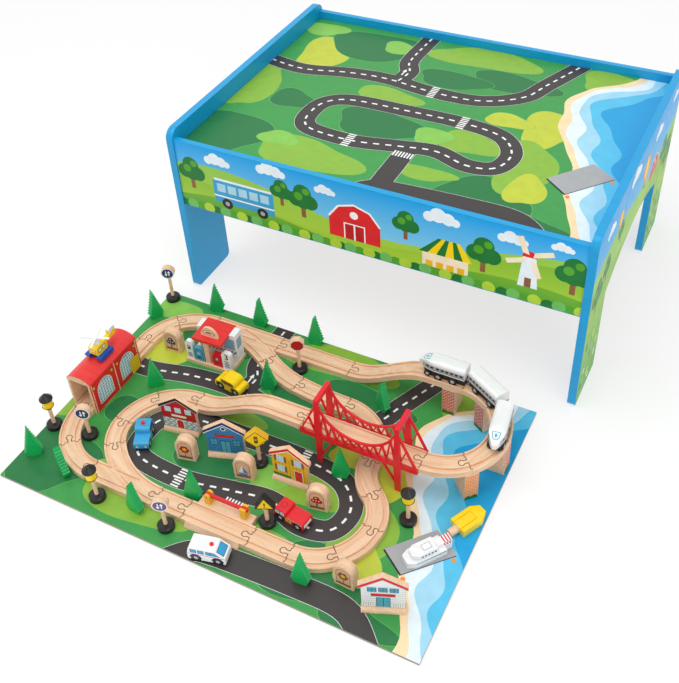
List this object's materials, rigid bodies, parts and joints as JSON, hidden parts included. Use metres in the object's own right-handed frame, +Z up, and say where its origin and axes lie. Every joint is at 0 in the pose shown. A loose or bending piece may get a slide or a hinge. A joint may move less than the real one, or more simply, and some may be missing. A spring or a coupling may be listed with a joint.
{
  "type": "train table",
  "caption": "Wooden play table with arched end panels, and a loose printed play board with a wooden toy railway, bridge, train, vehicles, boats and buildings.",
  "frame": {"origin": "on the floor, at the middle of the footprint of the table and the play board together", "axes": "+X along the table and the board, +Y from the board to the table, +Z up"},
  "size_m": [0.8764, 1.204, 0.394],
  "materials": {
    "table_print": "printed and lacquered fibreboard, blue edges",
    "play_print": "printed hardboard, satin",
    "pine": "sanded, unfinished",
    "steel": "zinc plated",
    "beech": "smooth sanded beech",
    "brick_print": "printed wood, matt",
    "bridge_red": "moulded, glossy",
    "train_grey": "moulded, glossy",
    "black_plastic": "moulded, satin",
    "black_wood": "painted wood with bare posts",
    "taxi_yellow": "painted and printed wood",
    "car_blue": "painted and printed wood",
    "signal_red": "painted and printed wood",
    "white_paint": "painted and printed wood",
    "barge_yellow": "moulded, glossy",
    "white_plastic": "moulded, satin",
    "house_print": "printed wood, bare foot",
    "tree_green": "moulded, satin",
    "sign_print": "printed wood"
  },
  "bodies": {
    "table_and_set": {"ambulance_body": "white_paint", "back_apron": "table_print", "barge": "barge_yellow", "blue_car_body": "car_blue", "cam_bolts": "steel", "cam_locks": "steel", "coach_body": "train_grey", "coupling_magnets": "steel", "cross_rails": "pine", "crossing_track": "beech", "curved_tracks": "beech", "dowels": "pine", "engine_shed_roof": "signal_red", "engine_shed_walls": "signal_red", "ferry": "white_paint", "fire_engine_body": "signal_red", "front_apron": "table_print", "front_engine_body": "train_grey", "fuel_canopy": "signal_red", "fuel_station": "white_paint", "gate_posts": "taxi_yellow", "helicopter_body": "barge_yellow", "ledger_screws": "steel", "ledger_strips": "pine", "left_end_panel": "table_print", "picture_blocks": "house_print", "play_board": "play_print", "ramp_tracks": "beech", "rear_engine_body": "train_grey", "right_end_panel": "table_print", "sign_faces": "sign_print", "sign_stands": "black_wood", "straight_tracks": "beech", "street_lamps": "black_wood", "suspension_bridge": "bridge_red", "switch_tracks": "beech", "taxi_body": "taxi_yellow", "toy_houses": "house_print", "track_risers": "brick_print", "train_chassis": "black_plastic", "trees": "tree_green"},
    "top_panel": {"top_panel": "play_print"},
    "front_engine_wheelset_1": {"front_engine_wheelset_1": "black_plastic"},
    "front_engine_wheelset_2": {"front_engine_wheelset_2": "black_plastic"},
    "front_engine_wheelset_3": {"front_engine_wheelset_3": "black_plastic"},
    "coach_wheelset_1": {"coach_wheelset_1": "black_plastic"},
    "coach_wheelset_2": {"coach_wheelset_2": "black_plastic"},
    "rear_engine_wheelset_1": {"rear_engine_wheelset_1": "black_plastic"},
    "rear_engine_wheelset_2": {"rear_engine_wheelset_2": "black_plastic"},
    "rear_engine_wheelset_3": {"rear_engine_wheelset_3": "black_plastic"},
    "taxi_wheelset_1": {"taxi_wheelset_1": "black_plastic"},
    "taxi_wheelset_2": {"taxi_wheelset_2": "black_plastic"},
    "blue_car_wheelset_1": {"blue_car_wheelset_1": "black_plastic"},
    "blue_car_wheelset_2": {"blue_car_wheelset_2": "black_plastic"},
    "fire_engine_wheelset_1": {"fire_engine_wheelset_1": "black_plastic"},
    "fire_engine_wheelset_2": {"fire_engine_wheelset_2": "black_plastic"},
    "ambulance_wheelset_1": {"ambulance_wheelset_1": "black_plastic"},
    "ambulance_wheelset_2": {"ambulance_wheelset_2": "black_plastic"},
    "helicopter_rotor": {"helicopter_rotor": "white_plastic"},
    "gate_arm": {"gate_arm": "signal_red"}
  },
  "joints": [
    {"name": "top_panel_lift", "type": "slide", "parent": "table_and_set", "child": "top_panel", "axis": [0, 0, 1], "range_m": [0, 0.06]},
    {"name": "front_engine_wheelset_1_spin", "type": "hinge", "parent": "table_and_set", "child": "front_engine_wheelset_1", "pos_m": [0.209, -0.114, 0.0863], "axis": [0, -1, 0], "continuous": true},
    {"name": "front_engine_wheelset_2_spin", "type": "hinge", "parent": "table_and_set", "child": "front_engine_wheelset_2", "pos_m": [0.237, -0.114, 0.0863], "axis": [0, -1, 0], "continuous": true},
    {"name": "front_engine_wheelset_3_spin", "type": "hinge", "parent": "table_and_set", "child": "front_engine_wheelset_3", "pos_m": [0.188, -0.114, 0.0884], "axis": [0, -1, 0], "continuous": true},
    {"name": "coach_wheelset_1_spin", "type": "hinge", "parent": "table_and_set", "child": "coach_wheelset_1", "pos_m": [0.28814, -0.1188, 0.0863], "axis": [-0.5, -0.866, 0], "continuous": true},
    {"name": "coach_wheelset_2_spin", "type": "hinge", "parent": "table_and_set", "child": "coach_wheelset_2", "pos_m": [0.32278, -0.1388, 0.0863], "axis": [-0.5, -0.866, 0], "continuous": true},
    {"name": "rear_engine_wheelset_1_spin", "type": "hinge", "parent": "table_and_set", "child": "rear_engine_wheelset_1", "pos_m": [0.355, -0.21151, 0.0863], "axis": [0.9903, 0.1392, 0], "continuous": true},
    {"name": "rear_engine_wheelset_2_spin", "type": "hinge", "parent": "table_and_set", "child": "rear_engine_wheelset_2", "pos_m": [0.3511, -0.18378, 0.0863], "axis": [0.9903, 0.1392, 0], "continuous": true},
    {"name": "rear_engine_wheelset_3_spin", "type": "hinge", "parent": "table_and_set", "child": "rear_engine_wheelset_3", "pos_m": [0.35792, -0.2323, 0.0884], "axis": [0.9903, 0.1392, 0], "continuous": true},
    {"name": "taxi_wheelset_1_spin", "type": "hinge", "parent": "table_and_set", "child": "taxi_wheelset_1", "pos_m": [-0.18582, -0.24349, 0.0128], "axis": [-0.1392, -0.9903, 0], "continuous": true},
    {"name": "taxi_wheelset_2_spin", "type": "hinge", "parent": "table_and_set", "child": "taxi_wheelset_2", "pos_m": [-0.15018, -0.24851, 0.0128], "axis": [-0.1392, -0.9903, 0], "continuous": true},
    {"name": "blue_car_wheelset_1_spin", "type": "hinge", "parent": "table_and_set", "child": "blue_car_wheelset_1", "pos_m": [-0.23977, -0.43883, 0.0128], "axis": [0.8988, 0.4384, 0], "continuous": true},
    {"name": "blue_car_wheelset_2_spin", "type": "hinge", "parent": "table_and_set", "child": "blue_car_wheelset_2", "pos_m": [-0.25423, -0.40917, 0.0128], "axis": [0.8988, 0.4384, 0], "continuous": true},
    {"name": "fire_engine_wheelset_1_spin", "type": "hinge", "parent": "table_and_set", "child": "fire_engine_wheelset_1", "pos_m": [0.07018, -0.45749, 0.0128], "axis": [-0.1392, -0.9903, 0], "continuous": true},
    {"name": "fire_engine_wheelset_2_spin", "type": "hinge", "parent": "table_and_set", "child": "fire_engine_wheelset_2", "pos_m": [0.10582, -0.46251, 0.0128], "axis": [-0.1392, -0.9903, 0], "continuous": true},
    {"name": "ambulance_wheelset_1_spin", "type": "hinge", "parent": "table_and_set", "child": "ambulance_wheelset_1", "pos_m": [0.01651, -0.57573, 0.0128], "axis": [-0.225, 0.9744, 0], "continuous": true},
    {"name": "ambulance_wheelset_2_spin", "type": "hinge", "parent": "table_and_set", "child": "ambulance_wheelset_2", "pos_m": [-0.02051, -0.58427, 0.0128], "axis": [-0.225, 0.9744, 0], "continuous": true},
    {"name": "helicopter_rotor_spin", "type": "hinge", "parent": "table_and_set", "child": "helicopter_rotor", "pos_m": [-0.393, -0.342, 0.1295], "axis": [0, 0, 1], "continuous": true},
    {"name": "gate_arm_lift", "type": "hinge", "parent": "table_and_set", "child": "gate_arm", "pos_m": [-0.0555, -0.496, 0.0355], "axis": [0, -1, 0], "range_deg": [0, 75]}
  ]
}
